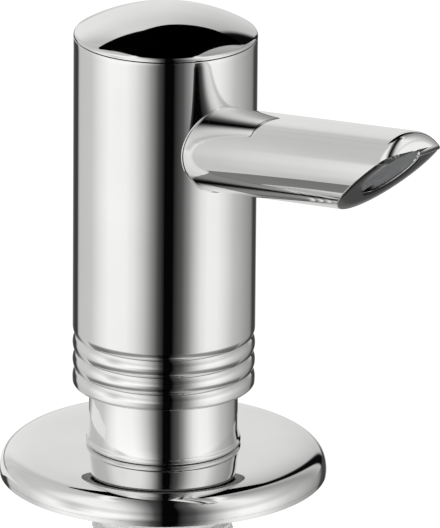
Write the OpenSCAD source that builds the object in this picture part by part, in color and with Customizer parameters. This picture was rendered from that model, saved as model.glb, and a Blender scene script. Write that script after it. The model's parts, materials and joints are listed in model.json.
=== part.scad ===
// Deck-mounted soap dispenser with a press-down head.
// Millimetres. Z is up, the deck's upper face is z = 0, the spout points along +X.

/* [Head] */
// Radius of the pressed head's shell
head_r = 16.7; // [16.4:0.1:17.6]
// Wall of the shell
head_wall = 2.3; // [2:0.1:2.5]
// Height of the shell from its lower rim to the seam under the cap
head_h = 66.3; // [65:0.1:74]
// Rise of the domed cap above the seam
crown_rise = 5.3; // [4.2:0.1:7]
// Rounding of the cap's edge
cap_edge = 0.8; // [0.5:0.1:1.2]
// Ribs round the foot of the shell
rib_count = 3; // [1:1:5]
// Height of one rib
rib_pitch = 3.3; // [2.8:0.1:3.8]
// Height of the lowest groove above the rim
rim_rib_h = 2.85; // [2:0.05:4]
// Depth of the grooves between the ribs
rib_depth = 0.52; // [0.3:0.01:0.6]
// Width of the seam under the cap
seam_w = 0.16; // [0.1:0.02:0.3]
// Travel of the head when it is pressed
stroke = 9.5; // [7:0.5:10]

/* [Spout] */
// Radius of the spout tube
spout_r = 7.75; // [7:0.05:8.2]
// Rise of the spout in degrees
spout_rise = 9.93; // [6:0.1:12]
// Height of the spout's axis above the rim, on the head's axis
spout_up = 46.1; // [45:0.1:48]
// Length of the spout along its axis, from the head's axis to the end
spout_l = 72.5; // [66:0.5:90]
// Height above the spout's axis at which the oblique cut starts
cut_start = 4.5; // [4:0.1:5.2]
// Angle between the oblique cut and the spout's axis
cut_angle = 31.1; // [28:0.1:38]
// Rounding of the spout's end
spout_round = 2; // [1:0.1:2.4]
// Length of the wide bore that takes the nozzle
nozzle_l = 26.5; // [24:0.5:30]
// Least rim between the wide bore and the top of the oblique cut
outlet_rim = 0.3; // [0.2:0.05:0.6]
// Depth of the nozzle's face behind the oblique cut
nozzle_sink = 0.3; // [0.1:0.05:1]

/* [Neck and flange] */
// Radius of the fixed neck
neck_r = 13.65; // [13.3:0.05:13.75]
// Wall of the neck
neck_wall = 1.45; // [1.3:0.05:1.6]
// Radius of the bead at the neck's foot
bead_r = 0.6; // [0.3:0.05:0.65]
// Length of neck inside the head when the head is up
neck_cover = 18.6; // [17:0.1:20]
// Radius of the deck flange
flange_r = 30; // [28:0.5:36]
// Height of the flange at the neck
flange_t = 5.85; // [5.4:0.05:6.4]
// Flatness of the flange's top, higher keeps it flat further out
flange_flat = 8; // [6:0.5:10]
// Fullness of the flange's rounded edge
flange_full = 2.9; // [2.4:0.1:3.4]
// Gap between rim and flange when the head is pressed
rim_gap = 2; // [1:0.1:3]

/* [Below the deck] */
// Radius of the threaded shank
shank_r = 13; // [12.8:0.05:13.1]
// Pitch of its thread
thread_pitch = 3; // [2.5:0.5:4]
// Length of the shank below the deck
shank_drop = 66; // [64:1:80]
// Thickness of the deck that is clamped
deck_t = 30; // [5:1:31]
// Outer radius of the two washers
washer_r = 23; // [20:0.5:26]
// Radius of the bottle
bottle_r = 34; // [30:1:40]
// Height of the bottle's body
bottle_h = 104; // [80:2:140]
// Wall of the bottle
bottle_wall = 1.3; // [1:0.1:2]

/* [Pump] */
// Inner radius of the pump barrel
barrel_r = 7.5; // [7.3:0.05:7.6]
// Wall of the barrel
barrel_wall = 2; // [1.8:0.05:2.1]
// Radius of the stem
stem_r = 4.5; // [4.4:0.05:4.7]
// Length of the return spring, head up
spring_l = 22; // [20:0.5:28]
// Radius of the spring's wire
wire_r = 0.5; // [0.4:0.05:0.55]
// Turns of the spring
spring_turns = 8; // [6:1:9]
// Radius of the inlet ball
inlet_ball_r = 3; // [2.7:0.05:3.1]
// Radius of the outlet ball
outlet_ball_r = 2.5; // [2.3:0.05:2.6]
// Lift of the two balls
valve_lift = 1.5; // [1:0.1:2]
// Outer radius of the dip tube
dip_r = 3.8; // [3.5:0.1:4.4]

/* [Fits] */
// Radial clearance of sliding and turning pairs
run_fit = 0.05; // [0.03:0.01:0.08]
// Radial clearance of fixed pairs
set_fit = 0.03; // [0.02:0.01:0.05]
// Gap left at the end of a travel
stop_gap = 0.2; // [0.15:0.05:0.3]

/* [Hidden] */
$fn = 96;

chrome = [0.80, 0.81, 0.82];
steel = [0.66, 0.67, 0.68];
grey = [0.40, 0.41, 0.42];
white = [0.90, 0.90, 0.88];
black = [0.10, 0.10, 0.10];

// flange and neck
hole_r = shank_r + 0.2;
seat_r = neck_r + bead_r + 0.3;
crown_x = 0.072 * flange_r;
gasket_in = flange_r - 4;
gasket_out = flange_r - 1.6;
gasket_t = 1.2;
neck_in_r = neck_r - neck_wall;

// head, up
rim_z = flange_t + stroke + rim_gap;
seam_z = rim_z + head_h;
bore_r = head_r - head_wall;
skirt_l = 4.2;
core_r = bore_r - set_fit;
core_top_z = seam_z - skirt_l - 0.3;

// neck top, pump barrel and bush
neck_top_z = rim_z + neck_cover;
shank_top_z = neck_top_z - 6;
shank_bore = 10;
guide_z = neck_top_z - 7;
guide_h = 4;
guide_sink = 0.5;
barrel_out_r = barrel_r + barrel_wall;
barrel_flange_z = shank_top_z + 0.1;
barrel_flange_t = 2;
barrel_top_z = barrel_flange_z + barrel_flange_t;
barrel_seal_z = barrel_top_z - 1.25 * barrel_out_r - 0.4;
barrel_seal_r = 0.08 * barrel_out_r;
bush_head_t = 3;
bush_skirt_l = 6;
bush_top_z = barrel_top_z + bush_head_t;
bush_low_z = barrel_top_z - bush_skirt_l;
wiper_r = stem_r + 1.5;
wiper_h = 1.5;

// stem, piston and spring
collar_z = bush_top_z + stroke + stop_gap;
collar_t = 2;
collar_r = stem_r + 1.5;
core_z = collar_z + collar_t + 0.1;
piston_top_z = bush_low_z - stop_gap;
piston_h = 8;
piston_z = piston_top_z - piston_h;
stem_foot_r = 3.2;
stem_bore = 1.8;
cage_top_z = piston_z - spring_l;
cage_t = 1.5;
floor_z = cage_top_z - cage_t;
coil_r = barrel_r - 1.3 - wire_r;

// valves: a ball on a conical seat
seat_half = 36;
seat_gap = 0.1;
inlet_z = floor_z - 0.3 - valve_lift - inlet_ball_r;
inlet_bore = inlet_ball_r + 0.6;
housing_z = inlet_z - seat_gap - inlet_ball_r / sin(seat_half);
nipple_r = dip_r - 1;
nipple_l = 9;
spout_z = rim_z + spout_up;
tail_r = spout_r - 2.25;
stem_top_z = spout_z - tail_r;
outlet_z = stem_top_z - valve_lift - outlet_ball_r;
outlet_bore = outlet_ball_r + 0.6;

// spout, lengths along its axis
tail_t = 7;
shoulder_t = 13;
nozzle_t = spout_l - nozzle_l;
spout_bore = 2.5;
outlet_r = cut_start - outlet_rim;
cut_k = 1 / tan(cut_angle);
seal_t = 9;
screw_t = 11.3;
screw_r = 1.5;
screw_l = 3 * screw_r;
pocket_z = spout_z + 12;

// clamping parts and bottle
rubber_t = 3;
clamp_t = 1.5;
nut_h = 12;
nut_top_z = -deck_t - rubber_t - clamp_t;
deck_most = 31;
bottle_neck_z = -deck_most - rubber_t - clamp_t - nut_h - 0.5;
seal_ring_t = 1;
ledge_z = -shank_drop - seal_ring_t;
bottle_neck_r = shank_r + 2.6;
bottle_top_z = ledge_z - 3;
bottle_low_z = bottle_top_z - bottle_h;
bottle_corner = 10;

// outline of the flange's top, from the flat round the neck to the foot of its edge
function flange_top(a) = [
    crown_x + (flange_r - crown_x) * pow(sin(a), 2 / flange_flat),
    flange_t * pow(cos(a), 2 / flange_full)
];

function seat_level(z, r, ball) = z - seat_gap - ball / sin(seat_half) + r / tan(seat_half);

// a ring of round section
module o_ring(out_r, section_r, z)
    rotate_extrude()
        translate([out_r - section_r, z])
            circle(section_r);

// the spout's own frame: its axis is Z, its underside faces +X
module along_spout()
    translate([0, 0, spout_z])
        rotate([0, 90 - spout_rise, 0])
            children();

// what the oblique cut takes away, set back by depth
module oblique_cut(depth) {
    back = depth / sin(cut_angle);
    low = spout_r + 2;
    rotate([90, 0, 0])
        linear_extrude(4 * spout_r, center = true)
            polygon([
                [-cut_start - back / cut_k - 10 / cut_k, spout_l + 10],
                [low, spout_l - back - cut_k * (low + cut_start)],
                [low, spout_l + 10]
            ]);
}

// one convex rib above the groove at z
module rib(z) {
    arc_r = (rib_pitch * rib_pitch / 4 + rib_depth * rib_depth) / (2 * rib_depth);
    intersection() {
        translate([head_r - arc_r, z + rib_pitch / 2])
            circle(arc_r);
        translate([bore_r, z])
            square([head_wall + 1, rib_pitch]);
    }
}

module head_shell()
    color(chrome)
        difference() {
            rotate_extrude()
                intersection() {
                    wall_z = rim_z + rim_rib_h + (rib_count - 0.5) * rib_pitch;
                    shell_top_z = seam_z - seam_w / 2;
                    union() {
                        for (i = [-1 : rib_count - 1])
                            rib(rim_z + rim_rib_h + i * rib_pitch);
                        translate([bore_r, rim_z])
                            square([head_wall, rim_rib_h - rib_pitch / 2]);
                        translate([bore_r, wall_z])
                            square([head_wall, shell_top_z - wall_z]);
                    }
                    translate([bore_r, rim_z])
                        square([head_wall, shell_top_z - rim_z]);
                }
            along_spout()
                translate([0, 0, tail_t])
                    cylinder(r = spout_r + set_fit, h = 2 * head_r);
        }

module head_cap()
    color(chrome)
        rotate_extrude()
            difference() {
                low_z = seam_z + seam_w / 2;
                edge_z = low_z + 0.05;
                edge_c = head_r - cap_edge;
                dome_h = seam_z + crown_rise - edge_z;
                dome_r = (edge_c ^ 2 + dome_h ^ 2 - cap_edge ^ 2) / (2 * (dome_h - cap_edge));
                union() {
                    intersection() {
                        translate([0, seam_z + crown_rise - dome_r])
                            circle(dome_r);
                        translate([0, low_z])
                            square([edge_c * dome_r / (dome_r - cap_edge), crown_rise + 1]);
                    }
                    intersection() {
                        translate([edge_c, edge_z])
                            circle(cap_edge);
                        translate([edge_c, low_z])
                            square(2 * cap_edge);
                    }
                    translate([0, low_z])
                        square([head_r, edge_z - low_z]);
                    translate([0, seam_z - skirt_l])
                        square([bore_r - set_fit, skirt_l + 1]);
                }
                translate([0, seam_z - skirt_l - 1])
                    square([bore_r - 2.4, skirt_l + 2]);
            }

module head_core()
    color(white)
        difference() {
            translate([0, 0, core_z])
                cylinder(r = core_r, h = core_top_z - core_z);
            translate([0, 0, pocket_z])
                cylinder(r = core_r - 2, h = core_top_z - pocket_z + 1);
            translate([0, 0, core_z - 1])
                cylinder(r = stem_r + run_fit, h = stem_top_z - core_z + 1.3);
            translate([0, 0, stem_top_z])
                cylinder(r = outlet_ball_r - 0.6, h = tail_r + 1);
            for (a = [0, 90])
                rotate([0, 0, a])
                    translate([-stem_r + 1, -0.7, stem_top_z])
                        cube([2 * stem_r - 2, 1.4, 2.5]);
            along_spout() {
                cylinder(r = spout_bore - 0.5, h = 2 * core_r);
                translate([0, 0, tail_t - 0.2])
                    cylinder(r = tail_r + set_fit, h = 2 * core_r);
                translate([0, 0, shoulder_t - 0.1])
                    cylinder(r = spout_r + set_fit, h = 2 * core_r);
                translate([0, 0, screw_t])
                    rotate([0, -90, 0])
                        cylinder(r = screw_r + set_fit, h = 2 * core_r);
            }
        }

module spout_tube()
    color(chrome)
        along_spout()
            difference() {
                rotate_extrude() {
                    translate([0, tail_t])
                        square([tail_r, shoulder_t - tail_t + 1]);
                    translate([0, shoulder_t])
                        square([spout_r, spout_l - spout_round - shoulder_t]);
                    translate([0, shoulder_t])
                        square([spout_r - spout_round, spout_l - shoulder_t]);
                    translate([spout_r - spout_round, spout_l - spout_round])
                        circle(spout_round);
                }
                translate([0, 0, tail_t - 1])
                    cylinder(r = spout_bore, h = nozzle_t - tail_t + 2);
                translate([0, 0, nozzle_t])
                    cylinder(r = outlet_r, h = spout_l - nozzle_t + 1);
                rotate_extrude()
                    translate([tail_r - 1.4, seal_t - 0.75])
                        square([3, 1.5]);
                oblique_cut(0);
            }

module spout_seal()
    color(black)
        along_spout()
            o_ring(tail_r, 0.68, seal_t);

module spout_screw()
    color(steel)
        along_spout()
            translate([0, 0, screw_t])
                rotate([0, -90, 0])
                    translate([0, 0, tail_r + 0.06])
                        difference() {
                            cylinder(r = screw_r, h = screw_l);
                            translate([0, 0, 0.55 * screw_l])
                                cylinder(r = 0.57 * screw_r, h = screw_l, $fn = 6);
                        }

module outlet_nozzle()
    color(grey)
        along_spout()
            difference() {
                translate([0, 0, nozzle_t + 0.1])
                    cylinder(r = outlet_r - set_fit, h = spout_l - nozzle_t);
                translate([0, 0, nozzle_t - 1])
                    cylinder(r = outlet_r - 1.2, h = 0.8 * outlet_r + 1);
                translate([outlet_r - 0.5, 0, nozzle_t])
                    cylinder(r = 1, h = spout_l);
                oblique_cut(nozzle_sink);
            }

module stem()
    color(steel)
        difference() {
            rotate_extrude()
                difference() {
                    union() {
                        translate([0, piston_z - 1.5])
                            square([stem_foot_r, piston_h + 2]);
                        translate([0, piston_top_z])
                            square([stem_r, stem_top_z - piston_top_z]);
                        translate([0, collar_z])
                            square([collar_r, collar_t]);
                    }
                    translate([stem_r - 1.4, core_z + 1.6])
                        square([3, 1.5]);
                }
            translate([0, 0, piston_z - 2])
                cylinder(r = stem_bore, h = stem_top_z - piston_z);
            rotate_extrude()
                polygon([
                    [0, seat_level(outlet_z, stem_bore, outlet_ball_r) - 0.5],
                    [stem_bore, seat_level(outlet_z, stem_bore, outlet_ball_r) - 0.5],
                    [stem_bore, seat_level(outlet_z, stem_bore, outlet_ball_r)],
                    [outlet_bore, seat_level(outlet_z, outlet_bore, outlet_ball_r)],
                    [outlet_bore, stem_top_z + 1],
                    [0, stem_top_z + 1]
                ]);
        }

module stem_seal()
    color(black)
        o_ring(stem_r, 0.68, core_z + 2.35);

module piston()
    color(white)
        rotate_extrude()
            difference() {
                translate([stem_foot_r + set_fit, piston_z])
                    square([barrel_r - 0.3 - stem_foot_r - set_fit, piston_h - 0.05]);
                translate([barrel_r - 1.9, piston_z + piston_h / 2 - 1])
                    square([3, 2]);
            }

module piston_seal()
    color(black)
        o_ring(barrel_r - run_fit, 0.9, piston_z + piston_h / 2);

// wire wound from the valve cage up to the piston, its end turns lying flat
module return_spring() {
    rings = 14 * spring_turns;
    sides = 8;
    rise = spring_l - 2 * wire_r - 0.1;
    function lift(s) = s < 0.05 ? 0 : s > 0.95 ? 1 : (s - 0.05) / 0.9;
    points = [
        for (i = [0 : rings])
            let (s = i / rings, a = 360 * spring_turns * s, z = cage_top_z + 0.05 + wire_r + rise * lift(s))
            for (j = [0 : sides - 1])
                let (b = 360 * j / sides, r = coil_r + wire_r * cos(b))
                [r * cos(a), r * sin(a), z + wire_r * sin(b)]
    ];
    walls = [
        for (i = [0 : rings - 1])
            for (j = [0 : sides - 1])
                let (k = (j + 1) % sides, low = i * sides, high = low + sides)
                each [[low + j, low + k, high + k], [low + j, high + k, high + j]]
    ];
    first = [for (j = [1 : sides - 2]) [0, j + 1, j]];
    last = [for (j = [1 : sides - 2]) [rings * sides, rings * sides + j, rings * sides + j + 1]];
    turn = rise * min([for (i = [0 : rings - 14]) lift((i + 14) / rings) - lift(i / rings)]);
    echo(least_gap_between_turns = turn - 2 * wire_r);
    color(steel)
        polyhedron(points, concat(walls, first, last));
}

module pump_barrel()
    color(white)
        rotate_extrude()
            difference() {
                union() {
                    translate([0, barrel_flange_z])
                        square([neck_in_r - run_fit, barrel_top_z - barrel_flange_z]);
                    translate([0, floor_z - 3])
                        square([barrel_out_r, barrel_top_z - floor_z + 3]);
                    translate([0, housing_z])
                        square([inlet_bore + 2.4, floor_z - housing_z]);
                    translate([0, housing_z - nipple_l])
                        square([nipple_r, nipple_l + 1]);
                }
                translate([0, floor_z])
                    square([barrel_r, barrel_top_z - floor_z + 1]);
                polygon([
                    [0, housing_z - nipple_l - 1],
                    [stem_bore, housing_z - nipple_l - 1],
                    [stem_bore, seat_level(inlet_z, stem_bore, inlet_ball_r)],
                    [inlet_bore, seat_level(inlet_z, inlet_bore, inlet_ball_r)],
                    [inlet_bore, floor_z + 1],
                    [0, floor_z + 1]
                ]);
                translate([shank_bore - run_fit - 2.1 * barrel_seal_r, barrel_seal_z - 1.12 * barrel_seal_r])
                    square([shank_bore, 2.24 * barrel_seal_r]);
            }

module barrel_bush()
    color(grey)
        rotate_extrude()
            difference() {
                union() {
                    translate([0, barrel_top_z + 0.05])
                        square([neck_in_r - run_fit, bush_top_z - barrel_top_z - 0.05]);
                    translate([0, bush_low_z])
                        square([barrel_r - set_fit, bush_top_z - bush_low_z]);
                }
                translate([0, bush_low_z - 1])
                    square([stem_r + run_fit, bush_top_z - bush_low_z + 2]);
                translate([0, bush_top_z - wiper_h])
                    square([wiper_r, wiper_h + 1]);
            }

module bush_seal()
    color(black)
        rotate_extrude()
            translate([stem_r + run_fit, bush_top_z - wiper_h + 0.03])
                square([wiper_r - set_fit - stem_r - run_fit, wiper_h - 0.03]);

module barrel_seal()
    color(black)
        o_ring(shank_bore - run_fit, barrel_seal_r, barrel_seal_z);

// a disc with four ways past a central cross
module valve_cage()
    color(white)
        translate([0, 0, floor_z + 0.03])
            difference() {
                cylinder(r = barrel_r - set_fit, h = cage_t - 0.03);
                for (a = [45 : 90 : 315])
                    rotate([0, 0, a])
                        translate([2.2, 0, -1])
                            cylinder(r = 1.2, h = cage_t + 2);
            }

module inlet_ball()
    color(steel)
        translate([0, 0, inlet_z])
            sphere(inlet_ball_r);

module outlet_ball()
    color(steel)
        translate([0, 0, outlet_z])
            sphere(outlet_ball_r);

// pushed over the barrel's nipple, its foot cut at a slant above the bottle's floor
module dip_tube() {
    foot_z = bottle_low_z + bottle_wall + 2.5;
    top_z = housing_z - 0.1;
    color(white)
        difference() {
            translate([0, 0, foot_z])
                cylinder(r = dip_r, h = top_z - foot_z);
            translate([0, 0, foot_z - 1])
                cylinder(r = nipple_r + set_fit, h = top_z - foot_z + 2);
            translate([0, 0, foot_z])
                rotate([0, -40, 0])
                    translate([-3 * dip_r, -3 * dip_r, -6 * dip_r])
                        cube(6 * dip_r);
        }
}

module neck_sleeve()
    color(chrome)
        rotate_extrude()
            difference() {
                union() {
                    translate([neck_in_r, flange_t + 0.02])
                        square([neck_wall, neck_top_z - flange_t - 0.02]);
                    translate([neck_in_r, flange_t + 0.02])
                        square([neck_wall + bead_r, bead_r]);
                    translate([neck_r, flange_t + 0.02 + bead_r])
                        circle(bead_r);
                }
                translate([neck_r - guide_sink, guide_z])
                    square([3, guide_h]);
            }

// split so that it can be sprung into its groove
module guide_ring()
    color(white)
        translate([0, 0, guide_z + 0.03])
            difference() {
                cylinder(r = bore_r - run_fit, h = guide_h - 0.06);
                translate([0, 0, -1])
                    cylinder(r = neck_r - guide_sink + set_fit, h = guide_h + 2);
                translate([-bore_r - 1, -0.6, -1])
                    cube([4, 1.2, guide_h + 2]);
            }

// coarse thread drawn as rings, from the lower end up to just under the deck
module threaded_shank() {
    turns = floor((shank_drop - 4) / thread_pitch);
    depth = 0.3 * thread_pitch;
    crest = 0.2 * thread_pitch;
    thread = [
        for (i = [0 : turns - 1])
            let (z = -shank_drop + 1 + i * thread_pitch)
            each [
                [shank_r, z],
                [shank_r - depth, z + thread_pitch / 2 - crest],
                [shank_r - depth, z + thread_pitch / 2],
                [shank_r, z + thread_pitch - crest]
            ]
    ];
    color(white)
        rotate_extrude()
            polygon(concat(
                [[shank_bore, -shank_drop], [shank_r - 0.8, -shank_drop]],
                thread,
                [
                    [shank_r, flange_t - 0.3],
                    [neck_in_r - set_fit, flange_t - 0.3],
                    [neck_in_r - set_fit, shank_top_z],
                    [shank_bore, shank_top_z]
                ]
            ));
}

module deck_flange()
    color(chrome)
        rotate_extrude()
            difference() {
                polygon(concat(
                    [[hole_r, 0], [hole_r, flange_t], [seat_r, flange_t]],
                    [for (a = [7.5 : 3.75 : 90]) flange_top(a)]
                ));
                translate([hole_r + 3.6, -1])
                    square([gasket_in - hole_r - 4.4, 4.2]);
                translate([gasket_in, -1])
                    square([gasket_out - gasket_in, gasket_t + 1]);
            }

module deck_gasket()
    color(black)
        difference() {
            cylinder(r = gasket_out - set_fit, h = gasket_t - set_fit);
            translate([0, 0, -1])
                cylinder(r = gasket_in + set_fit, h = gasket_t + 2);
        }

module rubber_washer()
    color(black)
        translate([0, 0, -deck_t - rubber_t])
            difference() {
                cylinder(r = washer_r, h = rubber_t);
                translate([0, 0, -1])
                    cylinder(r = shank_r + 0.15, h = rubber_t + 2);
            }

module clamp_washer()
    color(steel)
        translate([0, 0, nut_top_z + 0.02])
            difference() {
                cylinder(r = washer_r, h = clamp_t - 0.04);
                translate([0, 0, -1])
                    cylinder(r = shank_r + 0.4, h = clamp_t + 2);
            }

// round nut with a broad face and six lugs to turn it by
module mounting_nut()
    color(grey)
        translate([0, 0, nut_top_z - nut_h])
            difference() {
                union() {
                    cylinder(r = shank_r + 4.5, h = nut_h);
                    translate([0, 0, nut_h - 3])
                        cylinder(r = shank_r + 8, h = 3);
                    for (a = [0 : 60 : 300])
                        rotate([0, 0, a])
                            translate([shank_r + 2, -2.5, 0])
                                cube([6, 5, nut_h - 1]);
                }
                translate([0, 0, -1])
                    cylinder(r = shank_r + set_fit, h = nut_h + 2);
            }

// outline of the bottle's body, set in by a wall
module bottle_form(in) {
    corner_x = bottle_r - bottle_corner;
    translate([0, bottle_low_z + in])
        square([corner_x, bottle_h - 2 * in]);
    translate([0, bottle_low_z + bottle_corner])
        square([bottle_r - in, bottle_h - 2 * bottle_corner]);
    for (z = [bottle_low_z + bottle_corner, bottle_top_z - bottle_corner])
        translate([corner_x, z])
            circle(bottle_corner - in);
}

module bottle()
    color(white)
        rotate_extrude()
            difference() {
                union() {
                    bottle_form(0);
                    translate([0, bottle_top_z - 1])
                        square([bottle_neck_r, bottle_neck_z - bottle_top_z + 1]);
                    translate([0, bottle_neck_z - 4])
                        square([bottle_neck_r + 1.2, 3]);
                }
                bottle_form(bottle_wall);
                translate([0, ledge_z])
                    square([shank_r + set_fit, bottle_neck_z - ledge_z + 1]);
                translate([0, bottle_top_z - 5])
                    square([shank_r - 2, bottle_neck_z - bottle_top_z + 6]);
            }

module bottle_seal()
    color(black)
        translate([0, 0, ledge_z + 0.02])
            difference() {
                cylinder(r = shank_r - 0.1, h = seal_ring_t - 0.04);
                translate([0, 0, -1])
                    cylinder(r = shank_bore + 0.5, h = seal_ring_t + 2);
            }

head_shell();
head_cap();
head_core();
spout_tube();
spout_seal();
spout_screw();
outlet_nozzle();
stem();
stem_seal();
piston();
piston_seal();
return_spring();
pump_barrel();
barrel_bush();
bush_seal();
barrel_seal();
valve_cage();
inlet_ball();
outlet_ball();
dip_tube();
neck_sleeve();
guide_ring();
threaded_shank();
deck_flange();
deck_gasket();
rubber_washer();
clamp_washer();
mounting_nut();
bottle();
bottle_seal();
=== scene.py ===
# %% [markdown]
# A deck-mounted soap dispenser. The solids come from the frame, one object for each part, already in place
# and in metres. This lesson dresses them: the polished parts are turned again as fine smooth meshes, because
# a mirror finish shows every facet, and every part gets a finish made of shader nodes.

# %% Load the frame
import bpy
import bmesh
import json
from math import asin, atan2, cos, degrees, pi, radians, sin, tan
from mathutils import Matrix, Vector

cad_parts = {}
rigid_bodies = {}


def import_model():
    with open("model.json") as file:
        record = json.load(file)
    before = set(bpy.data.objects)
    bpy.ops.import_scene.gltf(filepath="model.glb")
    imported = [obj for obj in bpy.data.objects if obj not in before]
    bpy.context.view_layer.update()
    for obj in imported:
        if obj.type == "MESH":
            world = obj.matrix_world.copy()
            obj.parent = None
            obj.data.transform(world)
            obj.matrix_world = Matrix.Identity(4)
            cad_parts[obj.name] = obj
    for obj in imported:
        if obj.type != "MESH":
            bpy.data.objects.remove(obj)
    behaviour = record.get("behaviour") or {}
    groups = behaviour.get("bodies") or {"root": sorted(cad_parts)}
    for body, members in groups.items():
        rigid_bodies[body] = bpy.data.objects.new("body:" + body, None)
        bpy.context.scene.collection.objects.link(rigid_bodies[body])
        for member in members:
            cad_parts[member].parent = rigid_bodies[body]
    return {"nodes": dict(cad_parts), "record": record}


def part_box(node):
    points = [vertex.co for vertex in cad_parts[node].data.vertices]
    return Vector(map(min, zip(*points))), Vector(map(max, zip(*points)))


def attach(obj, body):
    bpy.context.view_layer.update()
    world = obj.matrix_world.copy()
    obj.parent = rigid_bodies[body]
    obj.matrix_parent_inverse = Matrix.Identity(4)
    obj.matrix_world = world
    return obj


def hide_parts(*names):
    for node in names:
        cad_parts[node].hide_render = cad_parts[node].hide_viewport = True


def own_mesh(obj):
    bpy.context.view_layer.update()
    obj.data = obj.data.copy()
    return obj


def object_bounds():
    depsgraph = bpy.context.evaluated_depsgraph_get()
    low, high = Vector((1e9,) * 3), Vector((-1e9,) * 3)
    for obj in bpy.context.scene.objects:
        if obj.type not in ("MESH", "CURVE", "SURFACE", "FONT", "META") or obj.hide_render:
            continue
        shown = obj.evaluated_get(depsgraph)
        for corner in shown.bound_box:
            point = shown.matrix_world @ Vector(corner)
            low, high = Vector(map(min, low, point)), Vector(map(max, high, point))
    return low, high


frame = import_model()
solid_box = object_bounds()
mm = 0.001
print("parts in the frame:", len(frame["nodes"]))

# %% [markdown]
# The heights that the pieces share are read off the frame's own boxes, so that a turned piece lands exactly
# where its solid is. The other sizes are the object's drawing sizes in millimetres, and the spout's rise is
# in degrees.

# %% Heights and sizes
def low(node):
    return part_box(node)[0][2] / mm

def high(node):
    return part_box(node)[1][2] / mm

half_seam = 0.08
rim, seam, top = low("head_shell"), high("head_shell") + half_seam, high("head_cap")
seat, neck_top = high("deck_flange"), high("neck_sleeve")
head_r, bore_r, spout_r, neck_r, flange_r = 16.7, 14.4, 7.75, 13.65, 30.0
spout_rise, spout_height, spout_length = 9.93, rim + 46.1, 72.5
print("rim %.2f, seam %.2f, top %.2f, flange seat %.2f mm" % (rim, seam, top, seat))

# %% [markdown]
# Almost every part of a dispenser is turned on a lathe or moulded round. In Blender that is a half outline
# spun about the axis. A sharp corner looks like paper under studio light, so the outline is written as
# corners of radius, height and rounding, and a small helper puts the arcs in. The corners run round in a
# ring, so the last one comes before the first.

# %% Outline with rounded corners
def rounded_outline(corners, arc_steps=6):
    points = []
    for i, (r, z, rounding) in enumerate(corners):
        here = Vector((r, z))
        if rounding <= 0:
            points.append(here)
            continue
        back = (Vector(corners[i - 1][:2]) - here).normalized()
        ahead = (Vector(corners[(i + 1) % len(corners)][:2]) - here).normalized()
        half = back.angle(ahead) / 2
        centre = here + (back + ahead).normalized() * rounding / sin(half)
        start = here + back * rounding / tan(half) - centre
        end = here + ahead * rounding / tan(half) - centre
        first = atan2(start.y, start.x)
        bend = (atan2(end.y, end.x) - first + pi) % (2 * pi) - pi
        for k in range(arc_steps + 1):
            a = first + bend * k / arc_steps
            points.append(centre + rounding * Vector((cos(a), sin(a))))
    return points

def arc(centre_r, centre_z, radius, start, end, steps):
    angles = [radians(start + (end - start) * k / steps) for k in range(steps + 1)]
    return [Vector((centre_r + radius * cos(a), centre_z + radius * sin(a))) for a in angles]

print("a rounded corner has", len(rounded_outline([(0, 0, 0), (2, 0, 0.5), (2, 2, 0)])) - 2, "points")

# %% [markdown]
# By hand, a lathe part starts as one point that is extruded along the outline and then spun. The point is a
# plane merged to its centre. After the spin the seam and the poles are merged, the normals are turned
# outwards, and shading is smooth except across real edges.

# %% Trace an outline
weld, hair = 1e-6, 1e-7

def traced_loop(name, start, steps):
    bpy.ops.object.select_all(action="DESELECT")
    bpy.ops.mesh.primitive_plane_add(size=mm)
    piece = bpy.context.object
    piece.name = piece.data.name = name
    bpy.ops.object.mode_set(mode="EDIT")
    bpy.ops.mesh.select_all(action="SELECT")
    bpy.ops.mesh.merge(type="CENTER")
    bpy.ops.transform.translate(value=start)
    for step in steps:
        bpy.ops.mesh.extrude_region_move(TRANSFORM_OT_translate={"value": step})
    bpy.ops.mesh.select_all(action="SELECT")
    return piece

def outline_object(name, outline):
    steps = [(end - start) * mm for start, end in zip(outline, outline[1:] + outline[:1])]
    start = (outline[0].x * mm, 0, outline[0].y * mm)
    piece = traced_loop(name, start, [(step.x, 0, step.y) for step in steps])
    bpy.ops.mesh.remove_doubles(threshold=hair)
    return piece

print("points closer than %g mm are merged" % (weld / mm))

# %% Spin it and close it
def spin_round(steps):
    bpy.ops.mesh.select_all(action="SELECT")
    bpy.ops.mesh.spin(steps=steps, angle=2 * pi, center=(0, 0, 0), axis=(0, 0, 1))
    bpy.ops.mesh.select_all(action="SELECT")
    bpy.ops.mesh.remove_doubles(threshold=weld)

def close_up(sharp):
    bpy.ops.mesh.select_all(action="SELECT")
    bpy.ops.mesh.remove_doubles(threshold=weld)
    bpy.ops.mesh.dissolve_degenerate(threshold=hair)
    bpy.ops.mesh.select_all(action="SELECT")
    bpy.ops.mesh.normals_make_consistent(inside=False)
    bpy.ops.object.mode_set(mode="OBJECT")
    bpy.ops.object.shade_smooth_by_angle(angle=radians(sharp))

turned_sharp, cut_sharp, wire_sharp = 32, 30, 40

def turned_piece(name, outline, steps=128):
    piece = outline_object(name, outline)
    spin_round(steps)
    close_up(turned_sharp)
    print(name, len(piece.data.polygons), "faces")
    return piece

print("turned edges stay sharp from", turned_sharp, "degrees")

# %% [markdown]
# The finishes come next. Each is a Principled shader whose colour, roughness and bump vary a little with
# noise in object coordinates, at the scale of the real surface: drawing marks in steel, mould texture in
# plastic, polishing haze in chrome. One helper builds the nodes, and each finish is one call of it.

# %% Finish helper
tint_range, haze_range, relief_height = (0.35, 0.65), (0.3, 0.7), 0.1 * mm
cloud_detail, grain_detail = 4, 3

def noise(nodes, links, place, scale, detail):
    node = nodes.new("ShaderNodeTexNoise")
    node.inputs["Scale"].default_value = scale
    node.inputs["Detail"].default_value = detail
    links.new(place, node.inputs["Vector"])
    return node.outputs["Fac"]

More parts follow.
